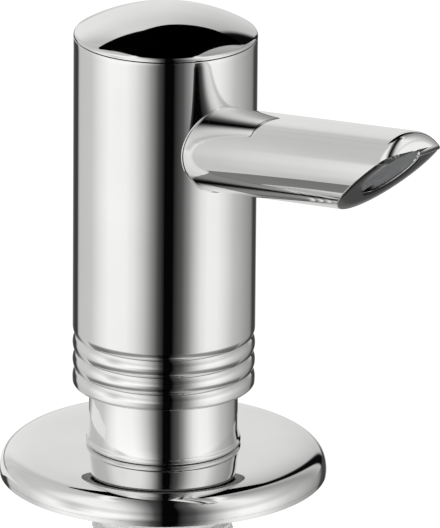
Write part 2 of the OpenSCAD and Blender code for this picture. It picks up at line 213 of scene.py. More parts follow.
def finish(name, dark, light, rough, scale, bump=0.0, bump_scale=400.0, stretch=(1, 1, 1), **settings):
    material = bpy.data.materials.new(name)
    material.use_nodes = True
    nodes, links = material.node_tree.nodes, material.node_tree.links
    shader = nodes["Principled BSDF"]
    for socket, value in settings.items():
        shader.inputs[socket.replace("_", " ")].default_value = value
    mapping = nodes.new("ShaderNodeMapping")
    mapping.inputs["Scale"].default_value = stretch
    links.new(nodes.new("ShaderNodeTexCoord").outputs["Object"], mapping.inputs["Vector"])
    cloud = noise(nodes, links, mapping.outputs["Vector"], scale, cloud_detail)
    tint = nodes.new("ShaderNodeValToRGB")
    for stop, place, colour in zip(tint.color_ramp.elements, tint_range, (dark, light)):
        stop.position, stop.color = place, (*colour, 1)
    links.new(cloud, tint.inputs["Fac"])
    links.new(tint.outputs["Color"], shader.inputs["Base Color"])
    haze = nodes.new("ShaderNodeMapRange")
    haze.inputs["From Min"].default_value, haze.inputs["From Max"].default_value = haze_range
    haze.inputs["To Min"].default_value, haze.inputs["To Max"].default_value = rough
    links.new(cloud, haze.inputs["Value"])
    links.new(haze.outputs["Result"], shader.inputs["Roughness"])
    if bump:
        relief = nodes.new("ShaderNodeBump")
        relief.inputs["Strength"].default_value = bump
        relief.inputs["Distance"].default_value = relief_height
        grain = noise(nodes, links, mapping.outputs["Vector"], bump_scale, grain_detail)
        links.new(grain, relief.inputs["Height"])
        links.new(relief.outputs["Normal"], shader.inputs["Normal"])
    return material

print("bump is at most %.1f mm high" % (relief_height / mm))

# %% [markdown]
# Chrome is nearly a perfect mirror and keeps only a trace of polishing haze. Inside the head the same
# plating is left dull. Steel has marks drawn along its length. The plastics differ in gloss, and the bottle's
# lets some light through.

# %% Metal finishes
chrome = finish("polished_chrome", (0.79, 0.79, 0.785), (0.82, 0.82, 0.815), rough=(0.02, 0.045),
                scale=60, Metallic=1.0)
plain_plate = finish("unpolished_plating", (0.36, 0.36, 0.355), (0.44, 0.44, 0.435), rough=(0.38, 0.5),
                     scale=200, bump=0.1, bump_scale=1500, Metallic=1.0)
steel = finish("plain_steel", (0.52, 0.53, 0.54), (0.62, 0.63, 0.64), rough=(0.2, 0.36),
               scale=900, bump=0.12, bump_scale=2500, stretch=(1, 1, 0.1), Metallic=1.0)
print("metals:", chrome.name, plain_plate.name, steel.name)

# %% Plastic and rubber finishes
white_plastic = finish("natural_acetal", (0.82, 0.82, 0.8), (0.87, 0.87, 0.855), rough=(0.34, 0.46),
                       scale=120, bump=0.15, bump_scale=1800)
grey_plastic = finish("matt_grey_moulding", (0.125, 0.128, 0.132), (0.155, 0.158, 0.162), rough=(0.42, 0.56),
                      scale=220, bump=0.3, bump_scale=2600)
black_plastic = finish("glass_filled_nylon", (0.018, 0.018, 0.019), (0.034, 0.034, 0.036), rough=(0.4, 0.6),
                       scale=300, bump=0.4, bump_scale=2200)
bottle_plastic = finish("milky_polyethylene", (0.74, 0.75, 0.74), (0.82, 0.83, 0.82), rough=(0.3, 0.42),
                        scale=45, bump=0.12, bump_scale=900,
                        Transmission_Weight=0.22, Subsurface_Weight=0.25, Subsurface_Scale=0.003)
seal_rubber = finish("seal_rubber", (0.012, 0.012, 0.012), (0.026, 0.026, 0.026), rough=(0.6, 0.8),
                     scale=350, bump=0.35, bump_scale=3000)
print("plastics and rubber:", white_plastic.name, grey_plastic.name, black_plastic.name,
      bottle_plastic.name, seal_rubber.name)

# %% [markdown]
# Every solid of the frame gets the finish of its slot. A new piece is dressed in one go: its finish, the
# body that it rides on, its slot and the solids that it stands for.

# %% Finishes on the parts
by_slot = {"polished_chrome": chrome, "steel": steel, "white_plastic": white_plastic,
           "grey_plastic": grey_plastic, "black_plastic": black_plastic,
           "bottle_plastic": bottle_plastic, "seal_rubber": seal_rubber}

def cover(piece, slot):
    piece.data.materials.clear()
    piece.data.materials.append(by_slot[slot])

def dress(piece, body, slot, *nodes):
    cover(piece, slot)
    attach(piece, body)
    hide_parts(*nodes)

for part in frame["record"]["subparts"]:
    cover(bpy.data.objects[part["node"]], part["material_slot"])
print("finishes:", ", ".join(by_slot))

# %% [markdown]
# The deck flange is the round cover on the worktop: almost flat round the neck, then rolling over faster and
# faster into its edge. A single arc would show as a hard line in the polish, so the outline follows a
# superellipse, whose curvature grows steadily, in many short steps. Below are the gasket's groove and a
# hollow that saves metal.

# %% Deck flange
flat_from = 0.072 * flange_r
plan_power, height_power, roll_steps = 2 / 8, 2 / 2.9, 96

def flange_top(turn):
    reach = sin(radians(turn)) ** plan_power
    return Vector((flat_from + (flange_r - flat_from) * reach,
                   seat * max(cos(radians(turn)), 0) ** height_power))

hub_bore, hub_edge, hub_flat = 13.2, 13.4, 14.25
flange_outline = (
    [Vector((hub_bore, 0)), Vector((hub_bore, seat - 0.2)),
     Vector((hub_edge, seat)), Vector((hub_flat, seat))]
    + [flange_top(90 * k / roll_steps) for k in range(6, roll_steps)]
    + rounded_outline([(flange_r, 0.9, 0), (flange_r, 0, 0.08),
                       (28.4, 0, 0), (28.4, 1.2, 0), (26, 1.2, 0), (26, 0, 0),
                       (25.2, 0, 0.2), (25.2, 3.2, 0.4), (16.8, 3.2, 0.4), (16.8, 0, 0.2)])
)
flange = turned_piece("flange_cover", flange_outline, 256)
dress(flange, "base", "polished_chrome", "deck_flange")

# %% [markdown]
# The neck is the fixed polished tube that the head slides over, with a small bead where it meets the flange.
# The bead's arc runs on into a small hollow arc, so that no corner shows between bead and tube. Near its top
# a groove holds the guide ring.

# %% Neck sleeve
foot = low("neck_sleeve")
neck_in, bead_r = neck_r - 1.45, 0.6
flare = bead_r * 2 ** 0.5
groove_low, groove_h, groove_r = neck_top - 7, 4, neck_r - 0.5
neck_outline = (
    [Vector((neck_in, foot)), Vector((neck_r, foot))]
    + arc(neck_r, foot + bead_r, bead_r, -90, 45, 14)
    + arc(neck_r + flare, foot + bead_r + flare, bead_r, 225, 180, 8)[1:]
    + rounded_outline([(neck_r, foot + 3, 0),
                       (neck_r, groove_low, 0), (groove_r, groove_low, 0),
                       (groove_r, groove_low + groove_h, 0), (neck_r, groove_low + groove_h, 0),
                       (neck_r, neck_top, 0.35), (neck_in, neck_top, 0.25)])
)
neck = turned_piece("neck_tube", neck_outline, 256)
dress(neck, "base", "polished_chrome", "neck_sleeve")

# %% [markdown]
# The head shell is the piece that the hand presses: a straight tube with three grooves turned in its foot.
# What stands between the grooves are convex ribs, each a flat arc, and two arcs meet in the bottom of a
# groove. Below the lowest groove the wall runs straight down to the rounded rim.

# %% Ribs of the head shell
rib_pitch, rib_depth, groove_count, first_groove = 3.3, 0.52, 3, rim + 2.85
rib_radius = (rib_pitch ** 2 / 4 + rib_depth ** 2) / (2 * rib_depth)
rib_lean, rib_steps, slack = degrees(asin(rib_pitch / 2 / rib_radius)), 24, 0.01
low_crest, high_crest = first_groove - rib_pitch / 2, first_groove + (groove_count - 0.5) * rib_pitch
ribs = []
for i in range(groove_count + 1):
    crest = first_groove + (i - 1) * rib_pitch + rib_pitch / 2
    ribs += arc(head_r - rib_radius, crest, rib_radius, -rib_lean, rib_lean, rib_steps)[1:]
ribs = [point for point in ribs if low_crest - slack < point.y < high_crest + slack]
print("ribs:", len(ribs), "points between", round(low_crest, 2), "and", round(high_crest, 2), "mm")

# %% [markdown]
# The wall above the ribs gets a ring of points every millimetre where the spout's hole will be cut, so that
# the cut leaves short faces that shade well. The foot's first corner is there only to give the next one its
# direction, and is dropped.

# %% Head shell
shell_top, bore_low = seam - half_seam, rim + 4
wall_heights = [32, 36, 42, 47] + list(range(49, 80))
foot_corners = [(bore_r, bore_low, 0), (bore_r, rim, 0.4), (head_r, rim, 0.5), (head_r, low_crest, 0)]
top_corners = [(head_r, seam - 1.2, 0), (head_r, shell_top, 0.14), (bore_r, shell_top, 0.2),
               (bore_r, bore_low, 0)]
shell_outline = (
    rounded_outline(foot_corners)[1:-1]
    + ribs + [Vector((head_r, z)) for z in wall_heights]
    + rounded_outline(top_corners)
)
shell = turned_piece("pressed_shell", shell_outline, 256)
dress(shell, "head", "polished_chrome", "head_shell")

# %% [markdown]
# The cap closes the shell with a shallow dome. Dome and edge are two arcs that meet without a corner, and the
# rounded edge makes the bright line above the seam. A skirt below holds the cap in the shell.

# %% Head cap
cap_edge, cap_low = 0.8, seam + half_seam
edge_z, edge_c = cap_low + 0.05, head_r - cap_edge
dome_h = top - edge_z
dome_r = (edge_c ** 2 + dome_h ** 2 - cap_edge ** 2) / (2 * (dome_h - cap_edge))
meet = degrees(asin(edge_c / (dome_r - cap_edge)))
skirt_r, skirt_in, skirt_low, cap_in = 14.2, 12, seam - 4.2, cap_low + 0.9
cap_outline = (
    arc(0, top - dome_r, dome_r, 90, 90 - meet, 48)
    + arc(edge_c, edge_z, cap_edge, 90 - meet, 0, 16)[1:]
    + rounded_outline([(head_r, cap_low, 0.03), (skirt_r, cap_low, 0), (skirt_r, skirt_low, 0.4),
                       (skirt_in, skirt_low, 0.2), (skirt_in, cap_in, 0)])
    + [Vector((0, cap_in))]
)
cap_outline[0].x = 0
cap = turned_piece("domed_cap", cap_outline, 256)
dress(cap, "head", "polished_chrome", "head_cap")

# %% [markdown]
# The spout is a straight tube with a rounded end, sawn obliquely so that the soap leaves downwards. It is
# turned upright on its own axis and cut with bisect. The cut leaves an outer and an inner loop, which are
# bridged to the flat face; its edges are broken with a small bevel as on the real one, and the tube is laid
# into its place.

# %% The saw cut and the spout's place
cut_start, cut_angle, outlet_r = 4.5, 31.1, 4.2
cut_normal = Vector((1 / tan(radians(cut_angle)), 0, 1)).normalized()
cut_point = Vector((-cut_start, 0, spout_length)) * mm
flat_within = 2e-6

def lay_along_spout(piece):
    piece.rotation_euler = (0, radians(90 - spout_rise), 0)
    piece.location = (0, 0, spout_height * mm)
    bpy.ops.object.transform_apply(location=True, rotation=True, scale=True)

def select_cut_edge(piece, point, from_x):
    bpy.ops.mesh.select_all(action="DESELECT")
    mesh = bmesh.from_edit_mesh(piece.data)
    mesh.select_mode = {"EDGE"}
    for line in mesh.edges:
        off_cut = [max(abs((v.co - point).dot(cut_normal)) for v in f.verts) for f in line.link_faces]
        flat = [distance_off < flat_within for distance_off in off_cut]
        line.select = sorted(flat) == [False, True] and min(v.co.x for v in line.verts) > from_x * mm
    mesh.select_flush_mode()
    bmesh.update_edit_mesh(piece.data)

print("cut at", cut_angle, "degrees to the spout's axis")

# %% Spout tube
tail_r, tail_bore, seal_groove_r, nozzle_floor, tube_edge = 5.5, 2.5, 4.1, 46, 0.16
tube_outline = rounded_outline([
    (tail_bore, 7, 0.2), (tail_r, 7, 0.3),
    (tail_r, 8.25, 0), (seal_groove_r, 8.25, 0), (seal_groove_r, 9.75, 0), (tail_r, 9.75, 0),
    (tail_r, 13, 0), (spout_r, 13, 0.2), (spout_r, spout_length, 2.0), (outlet_r, spout_length, 0.2),
    (outlet_r, nozzle_floor, 0), (tail_bore, nozzle_floor, 0)], 12)
tube = outline_object("spout_pipe", tube_outline)
spin_round(192)
bpy.ops.mesh.normals_make_consistent(inside=False)
bpy.ops.mesh.bisect(plane_co=cut_point, plane_no=cut_normal, clear_outer=True)
bpy.ops.mesh.bridge_edge_loops()
select_cut_edge(tube, cut_point, -3.2)
bpy.ops.mesh.bevel(offset=tube_edge * mm, segments=3, affect="EDGES")
close_up(cut_sharp)
lay_along_spout(tube)
print("spout", len(tube.data.polygons), "faces")

# %% [markdown]
# Where the spout leaves the shell a thin polished bead runs round it and catches the light. It is a curve
# with a round bevel that follows the meeting line of the two tubes, made a mesh and joined to the spout.

# %% Round wire and joining
def pick(piece, *others):
    bpy.ops.object.select_all(action="DESELECT")
    for one in (*others, piece):
        one.select_set(True)
    bpy.context.view_layer.objects.active = piece

def round_wire(name, points, radius, closed=False):
    wire = bpy.data.curves.new(name, "CURVE")
    wire.dimensions, wire.bevel_depth, wire.bevel_resolution = "3D", radius * mm, 3
    wire.use_fill_caps = not closed
    line = wire.splines.new("POLY")
    line.points.add(len(points) - 1)
    line.use_cyclic_u = closed
    for point, place in zip(line.points, points):
        point.co = (*(Vector(place) * mm), 1)
    piece = bpy.data.objects.new(name, wire)
    bpy.context.scene.collection.objects.link(piece)
    pick(piece)
    bpy.ops.object.convert(target="MESH")
    bpy.ops.object.mode_set(mode="EDIT")
    close_up(wire_sharp)
    print(name, len(bpy.context.object.data.polygons), "faces")
    return bpy.context.object

def join_to(piece, *others):
    pick(piece, *others)
    bpy.ops.object.join()
    bpy.ops.object.shade_smooth_by_angle(angle=radians(cut_sharp))

# %% Bead round the spout
rise_angle, bead_steps, spout_bead_r = radians(spout_rise), 144, 0.22
meeting = []
for k in range(bead_steps):
    across, over = spout_r * sin(2 * pi * k / bead_steps), spout_r * cos(2 * pi * k / bead_steps)
    front_x = (head_r ** 2 - across ** 2) ** 0.5
    out = (front_x + over * sin(rise_angle)) / cos(rise_angle)
    meeting.append((front_x, across, spout_height + out * sin(rise_angle) + over * cos(rise_angle)))
join_to(tube, round_wire("spout_bead", meeting, spout_bead_r, closed=True))
dress(tube, "head", "polished_chrome", "spout_tube")
print("spout with bead:", len(tube.data.polygons), "faces")

# %% [markdown]
# The shell needs the hole that the spout passes. A plain rod laid along the spout cuts it with a Boolean
# modifier, which is then applied, and the rod is removed.

# %% Hole for the spout
def cut_away(piece, tool):
    pick(piece)
    hole = piece.modifiers.new("hole", "BOOLEAN")
    hole.operation, hole.solver, hole.object = "DIFFERENCE", "EXACT", tool
    bpy.ops.object.modifier_apply(modifier=hole.name)
    bpy.data.objects.remove(tool)
    bpy.ops.object.shade_smooth_by_angle(angle=radians(turned_sharp))

rod_r, rod_from, rod_to = spout_r + 0.03, 9, 24
rod = turned_piece("hole_rod", rounded_outline([
    (0, rod_from, 0), (rod_r, rod_from, 0), (rod_r, rod_to, 0), (0, rod_to, 0)]), 192)
lay_along_spout(rod)
cut_away(shell, rod)
print("shell with its hole:", len(shell.data.polygons), "faces")

# %% [markdown]
# Only the outside is polished. The bore and the underside of the rim keep their plain plating, so those faces
# are picked by their place and get the second material slot.

# %% Plain inside of the shell
shell.data.materials.append(plain_plate)
for face in shell.data.polygons:
    centre = face.center / mm
    inside = centre.xy.length < bore_r + 0.3 or centre.z < rim + 0.02
    face.material_index = 1 if inside and centre.z < seam - 0.5 else 0
print("plain faces:", sum(face.material_index for face in shell.data.polygons))

# %% [markdown]
# The grey nozzle fills the spout's end. It is a rod sawn at the same angle as the spout, a little behind its
# cut, with a rounded edge and a groove along its underside that the soap leaves by. The groove is drilled
# half over the rod's side.

# %% Outlet nozzle
nozzle_r, nozzle_back, nozzle_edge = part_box("outlet_nozzle")[1][1] / mm, 0.3, 0.15
nozzle_low = nozzle_floor + 0.1
nozzle = outline_object("outlet_plug", rounded_outline([
    (0, nozzle_low, 0), (nozzle_r, nozzle_low, 0.3), (nozzle_r, spout_length, 0), (0, spout_length, 0)]))
spin_round(128)
bpy.ops.mesh.normals_make_consistent(inside=False)
plug_point = cut_point - cut_normal * nozzle_back * mm
bpy.ops.mesh.bisect(plane_co=plug_point, plane_no=cut_normal, use_fill=True, clear_outer=True)
select_cut_edge(nozzle, plug_point, -9.0)
bpy.ops.mesh.bevel(offset=nozzle_edge * mm, segments=3, affect="EDGES")
close_up(cut_sharp)
drill = turned_piece("drill", [Vector((0, 40)), Vector((1, 40)), Vector((1, 80)), Vector((0, 80))], 48)
drill.location.x = (outlet_r - 0.5) * mm
cut_away(nozzle, drill)
lay_along_spout(nozzle)
dress(nozzle, "head", "grey_plastic", "outlet_nozzle")
print("nozzle:", len(nozzle.data.polygons), "faces")

# %% [markdown]
# Below the deck the threaded shank carries the nut. The core is turned, and the thread is a small section
# wound up round it with the Screw modifier, its ends filled, so that it is a real helix and not a stack of
# rings.

# %% Core of the shank
shank_low, shank_top = low("threaded_shank"), high("threaded_shank")
shank_r, core_r, shank_bore, plug_r = 13.0, 12.1, 10, neck_in - 0.03
shank = turned_piece("shank_tube", rounded_outline([
    (shank_bore, shank_low, 0.3), (core_r, shank_low, 0.6), (core_r, -5, 0.2),
    (shank_r, -4.1, 0.2), (shank_r, seat - 0.3, 0.2), (plug_r, seat - 0.3, 0),
    (plug_r, shank_top, 0.4), (shank_bore, shank_top, 0.4)]))

# %% Thread of the shank
root_r, crest_r, thread_pitch, thread_turns = 11.9, 12.98, 3, 19
thread = outline_object("shank_thread", [
    Vector((root_r, shank_low + 1.5)), Vector((crest_r, shank_low + 2.45)),
    Vector((crest_r, shank_low + 3.05)), Vector((root_r, shank_low + 4.0))])
bpy.ops.object.mode_set(mode="OBJECT")
screw = thread.modifiers.new("winding", "SCREW")
screw.axis, screw.angle, screw.screw_offset, screw.iterations = "Z", 2 * pi, thread_pitch * mm, thread_turns
screw.steps = screw.render_steps = 64
bpy.ops.object.modifier_apply(modifier=screw.name)
bpy.ops.object.mode_set(mode="EDIT")
bpy.ops.mesh.select_all(action="SELECT")
bpy.ops.mesh.remove_doubles(threshold=weld)
bpy.ops.mesh.select_all(action="SELECT")
bpy.ops.mesh.fill_holes(sides=0)
close_up(cut_sharp)
join_to(shank, thread)
dress(shank, "base", "white_plastic", "threaded_shank")
print("shank with thread:", len(shank.data.polygons), "faces")

# %% [markdown]
# The nut is turned by hand, so it has six lugs. One lug is a cube with its edges bevelled; five copies are
# turned round the axis and all are joined to the turned ring.

# %% Ring of the nut
nut_low, nut_top = low("mounting_nut"), high("mounting_nut")
nut_bore, nut_r, brim_r, brim_low = 13.05, 17.5, 21, nut_top - 3
nut = turned_piece("deck_nut", rounded_outline([
    (nut_bore, nut_low, 0.5), (nut_r, nut_low, 0.7), (nut_r, brim_low, 0.9),
    (brim_r, brim_low, 0.5), (brim_r, nut_top, 0.4), (nut_bore, nut_top, 0.4)]))

# %% Lugs of the nut
lug_count, lug_at, lug_deep, lug_wide, lug_h, lug_edge = 6, 18, 6, 5, 11, 0.8
bpy.ops.object.select_all(action="DESELECT")
bpy.ops.mesh.primitive_cube_add(size=1, location=(lug_at * mm, 0, (nut_low + lug_h / 2) * mm),
                                scale=(lug_deep * mm, lug_wide * mm, lug_h * mm))
lug = bpy.context.object
bpy.ops.object.transform_apply(location=True, rotation=True, scale=True)
bpy.ops.object.mode_set(mode="EDIT")
bpy.ops.mesh.select_all(action="SELECT")
bpy.ops.mesh.bevel(offset=lug_edge * mm, segments=4, affect="EDGES")
bpy.ops.object.mode_set(mode="OBJECT")
lugs = [lug]
for k in range(1, lug_count):
    copy = lug.copy()
    copy.data = lug.data.copy()
    bpy.context.scene.collection.objects.link(copy)
    copy.rotation_euler.z = k * 2 * pi / lug_count
    pick(copy)
    bpy.ops.object.transform_apply(location=True, rotation=True, scale=True)
    lugs.append(copy)
join_to(nut, *lugs)
dress(nut, "base", "black_plastic", "mounting_nut")
print("nut:", len(nut.data.polygons), "faces")

# %% [markdown]
# Two washers spread the nut's pull: a soft one against the deck and a steel one under it. Their edges are
# broken in the outline, the soft one's more than the steel one's.

# %% Washers
washer_r = 23

def flat_ring(name, node, hole_r, inner_edge, outer_edge):
    return turned_piece(name, rounded_outline([
        (hole_r, low(node), inner_edge), (washer_r, low(node), outer_edge),
        (washer_r, high(node), outer_edge), (hole_r, high(node), inner_edge)]))

soft_ring = flat_ring("soft_washer", "rubber_washer", 13.15, 0.3, 0.7)
dress(soft_ring, "base", "seal_rubber", "rubber_washer")
plate = flat_ring("steel_washer", "clamp_washer", 13.4, 0.15, 0.3)
dress(plate, "base", "steel", "clamp_washer")

# %% [markdown]
# The bottle is blow-moulded: an even wall, large soft corners, a bead under the mouth and a base that is
# pushed in a little so that it stands on a ring.

# %% Bottle
mouth, base_z = high("bottle"), low("bottle")
shoulder, ledge = -70.0, -67.0
bottle_r, wall, push = 34, 1.3, 1
throat_r, socket_r, collar_out, ring_out = 11, 13.03, 15.6, 16.8
floor_z, bottle_in = base_z + wall, bottle_r - wall
outer_corners = [
    (throat_r, ledge, 0.2), (socket_r, ledge, 0.2), (socket_r, mouth, 0.4), (collar_out, mouth, 0.5),
    (collar_out, mouth - 1, 0.2), (ring_out, mouth - 1.2, 0.5), (ring_out, mouth - 3.8, 0.5),
    (collar_out, mouth - 4, 0.3), (collar_out, shoulder, 1.6), (bottle_r, shoulder, 10),
    (bottle_r, base_z, 10), (22, base_z, 2.5), (19, base_z + push, 2.5), (0, base_z + push, 0)]
inner_corners = [
    (0, floor_z + push, 0), (19, floor_z + push, 2.5), (22, floor_z, 2.5), (bottle_in, floor_z, 8.7),
    (bottle_in, shoulder - wall, 8.7), (throat_r, shoulder - wall, 0.3)]
bottle = turned_piece("soap_bottle", rounded_outline(outer_corners + inner_corners, 10), 160)
dress(bottle, "base", "bottle_plastic", "bottle")

# %% [markdown]
# The dip tube hangs in the soap. Its foot is cut at a slant so that it can't suck itself shut on the bottle's
# floor.

# %% Dip tube
dip_low, dip_top, dip_in, dip_r, slant = low("dip_tube"), high("dip_tube"), 2.83, 3.8, radians(40)
dip = outline_object("dip_pipe", rounded_outline([
    (dip_in, dip_low, 0), (dip_r, dip_low, 0), (dip_r, dip_top, 0.3), (dip_in, dip_top, 0.2)]))
spin_round(64)
bpy.ops.mesh.bisect(plane_co=(0, 0, dip_low * mm), plane_no=(-sin(slant), 0, cos(slant)), clear_inner=True)
bpy.ops.mesh.bridge_edge_loops()
close_up(cut_sharp)
dress(dip, "pump", "bottle_plastic", "dip_tube")
print("dip tube:", len(dip.data.polygons), "faces")

# %% [markdown]
# The pump barrel is what comes into sight when the pump is lifted out for filling: a collar, the cylinder
# with the groove for its seal, the valve housing and the nipple for the dip tube.

# %% Pump barrel
barrel_low, barrel_top, barrel_floor = low("pump_barrel"), high("pump_barrel"), low("valve_cage")
seal_mid, seal_half = (low("barrel_seal") + high("barrel_seal")) / 2, 0.85
housing, step_z, collar_low = barrel_low + 9, barrel_floor - 3, barrel_top - 2
cylinder_r, seal_bed_r, hanger_r, cylinder_bore = 9.5, 8.35, neck_in - 0.05, 7.5
nipple_bore, nipple_r, housing_r, valve_bore = 1.8, 2.8, 6, 3.6
barrel = turned_piece("pump_cylinder", rounded_outline([
    (nipple_bore, barrel_low, 0.2), (nipple_r, barrel_low, 0.5), (nipple_r, housing, 0.2),
    (housing_r, housing, 0.6), (housing_r, step_z, 0.4), (cylinder_r, step_z, 1),
    (cylinder_r, seal_mid - seal_half, 0.1), (seal_bed_r, seal_mid - seal_half, 0),
    (seal_bed_r, seal_mid + seal_half, 0), (cylinder_r, seal_mid + seal_half, 0.1),
    (cylinder_r, collar_low, 0.2), (hanger_r, collar_low, 0.35), (hanger_r, barrel_top, 0.35),
    (cylinder_bore, barrel_top, 0.3), (cylinder_bore, barrel_floor, 0), (valve_bore, barrel_floor, 0),
    (valve_bore, housing + 3.5, 0), (nipple_bore, housing + 2.4, 0)]))
dress(barrel, "pump", "white_plastic", "pump_barrel")

# %% [markdown]
# The return spring stands between the valve cage and the piston and gets shorter as the head is pressed. A
# curve with a round bevel follows the winding, its end turns lying flat, and is made a mesh.

# %% Return spring
spring_low, spring_top, coil_r, wire_r = low("return_spring"), high("return_spring"), 5.7, 0.5
turns, turn_steps, end_share = 8, 32, 0.05
spring_h = spring_top - spring_low
coil = []
for k in range(turns * turn_steps + 1):
    done = k / (turns * turn_steps)
    climb = min(max((done - end_share) / (1 - 2 * end_share), 0), 1)
    z = spring_low + wire_r + (spring_h - 2 * wire_r) * climb
    coil.append((coil_r * cos(2 * pi * turns * done), coil_r * sin(2 * pi * turns * done), z))
spring = round_wire("coil_spring", coil, wire_r)
dress(spring, "pump", "steel", "return_spring")
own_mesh(spring)

# %% [markdown]
# The photograph looks at the dispenser from a little above, from its front right. The camera stands 1.7 m
# away with a long lens, and is turned so that the axis falls left of the middle of the frame.

# %% Camera
azimuth, elevation, distance = radians(51.66), radians(18.823), 1.7
aim_right, aim_down, roll = 0.005958, 0.00276, radians(0.367)
sensor, frame_h, lens_px = 36, 528, 9340
away = Vector((-sin(azimuth), cos(azimuth), 0))
right = Vector((cos(azimuth), sin(azimuth), 0))
look = away * cos(elevation) - Vector((0, 0, sin(elevation)))
stand = Vector((0, 0, 0.045)) - distance * look
lift = right.cross(look)
aim = (look + aim_right * right - aim_down * lift).normalized()
side = right * cos(roll) + lift * sin(roll)
side = (side - aim * side.dot(aim)).normalized()
view = bpy.data.cameras.new("photo_view")
view.sensor_fit, view.sensor_height, view.lens = "VERTICAL", sensor, lens_px * sensor / frame_h
view.clip_start, view.clip_end = 0.1, 100
camera = bpy.data.objects.new("photo_camera", view)
camera.matrix_world = Matrix.Translation(stand) @ Matrix((side, side.cross(aim), -aim)).transposed().to_4x4()
bpy.context.scene.collection.objects.link(camera)
bpy.context.scene.camera = camera
bpy.context.scene.view_settings.view_transform = "Standard"
print("camera at", [round(c, 3) for c in camera.location])

# %% [markdown]
# Chrome shows nothing but the room. The studio is written into the world by direction: soft boxes to the left
# and right, a pale backdrop behind and a dark gap where the camera stands. The first helpers make single
# nodes, so that the studio can then be written as sums. A direction has a turn, 0 towards the camera and
# growing to its right, and a height, the sine of its elevation.

# %% Studio helpers
world = bpy.data.worlds.new("studio")
bpy.context.scene.world = world
world.use_nodes = True
wnodes, wlinks = world.node_tree.nodes, world.node_tree.links

def feed(socket, value):
    if hasattr(value, "links"):
        wlinks.new(value, socket)
    else:
        socket.default_value = value

def calc(operation, *values):
    node = wnodes.new("ShaderNodeMath")
    node.operation = operation
    for socket, value in zip(node.inputs, values):
        feed(socket, value)
    return node.outputs[0]

def rest_of(share):
    return calc("SUBTRACT", 1.0, share)

def mix(first, second, share):
    return calc("ADD", calc("MULTIPLY", first, rest_of(share)), calc("MULTIPLY", second, share))

def rise(value, start, end):
    node = wnodes.new("ShaderNodeMapRange")
    node.interpolation_type = "SMOOTHSTEP"
    for name, v in (("Value", value), ("From Min", start), ("From Max", end)):
        feed(node.inputs[name], v)
    return node.outputs["Result"]

print("world:", world.name)

# %% Directions in the studio
ray = wnodes.new("ShaderNodeTexCoord").outputs["Generated"]

def along(direction):
    node = wnodes.new("ShaderNodeVectorMath")
    node.operation = "DOT_PRODUCT"
    wlinks.new(ray, node.inputs[0])
    node.inputs[1].default_value = direction
    return node.outputs["Value"]

to_right, to_back, to_top = along(right), along(away), along((0, 0, 1))
turn = calc("ARCTAN2", to_right, calc("MULTIPLY", to_back, -1.0))
turn_size = calc("ABSOLUTE", turn)
overhead = rise(to_top, 0.9, 0.96)
print("right of the camera is", [round(c, 3) for c in right])

# %% [markdown]
# The soft boxes stand in a ring, so their brightness is a colour ramp over the turn: pairs of degrees and
# level. A second ring is what steep downward reflections see, the table with its own softer gap.

# %% Soft boxes round the object
def ring(levels):
    ramp = wnodes.new("ShaderNodeValToRGB")
    stops = ramp.color_ramp.elements
    for k, (angle, level) in enumerate(levels):
        place = (angle + 180) / 360
        stop = stops[k] if k < 2 else stops.new(place)
        stop.position, stop.color = place, (level, level, level, 1)
    grey = wnodes.new("ShaderNodeRGBToBW")
    wlinks.new(ramp.outputs["Color"], grey.inputs["Color"])
    return ramp.inputs["Fac"], grey.outputs[0]

boxes_in, boxes = ring([
    (-180, 0.75), (-172, 0.5), (-164, 0.1), (-151, 0.05), (-142, 0.06), (-138, 0.5), (-134, 0.63),
    (-106, 0.68), (-88, 0.95), (-74, 1.1), (-50, 1.08), (-38, 0.92), (-26, 0.63), (-18, 0.36), (-8, 0.08),
    (0, 0.002), (10, 0.002), (13, 0.03), (22, 0.1), (30, 0.3), (38, 0.62), (46, 0.9), (56, 1.05),
    (70, 1.03), (82, 0.88), (98, 0.62), (120, 0.43), (138, 0.3), (147, 0.06), (163, 0.06), (172, 0.6),
    (180, 0.75)])
table_in, table = ring([
    (-180, 0.75), (-110, 0.75), (-60, 1.05), (-28, 0.95), (-18, 0.55), (-7, 0.06), (0, 0.002), (8, 0.004),
    (14, 0.12), (24, 0.5), (34, 0.85), (60, 1.0), (100, 0.7), (125, 0.4), (140, 0.07), (163, 0.07),
    (180, 0.6)])
print("rings: soft boxes and table")

# %% [markdown]
# The gap in front is a slot between two upright boxes, so its edges are straight and don't run together
# overhead as lines of equal turn do. In front and overhead the ring is therefore read by the sideways angle
# of a ray, spread a little to match the boxes, and elsewhere by its turn.

# %% The gap in front
def turn_share(angle):
    return calc("ADD", calc("DIVIDE", angle, 2 * pi), 0.5)

left_spread, right_growth, growth_power = 1.6, 1.35, 4.0
ahead = rest_of(rise(turn_size, radians(60), radians(85)))
leftward = calc("LESS_THAN", to_right, 0.0)
steep = calc("POWER", calc("MAXIMUM", to_top, 0.0), growth_power)
spread = mix(calc("MULTIPLY_ADD", steep, right_growth, 1.0), left_spread, leftward)
sideways = calc("MULTIPLY", calc("ARCSINE", to_right), spread)
gap_share = calc("MULTIPLY", rise(to_top, -0.25, -0.08), calc("MAXIMUM", ahead, overhead))
wlinks.new(turn_share(mix(turn, sideways, gap_share)), boxes_in)
wlinks.new(turn_share(turn), table_in)
around = mix(table, boxes, rise(to_top, -0.7, -0.36))
print("the gap is spread", left_spread, "times on the left")

# %% [markdown]
# Real soft boxes are not even from top to bottom. Three soft bands make the ring a little darker low at the
# sides and above the middle, and a little brighter at the middle's height.

# %% Bands in the soft boxes
def band(low_start, low_end, high_start, high_end):
    return calc("MULTIPLY", rise(to_top, low_start, low_end), rest_of(rise(to_top, high_start, high_end)))

def dimmed(level, share, depth):
    return calc("MULTIPLY", level, rest_of(calc("MULTIPLY", share, depth)))

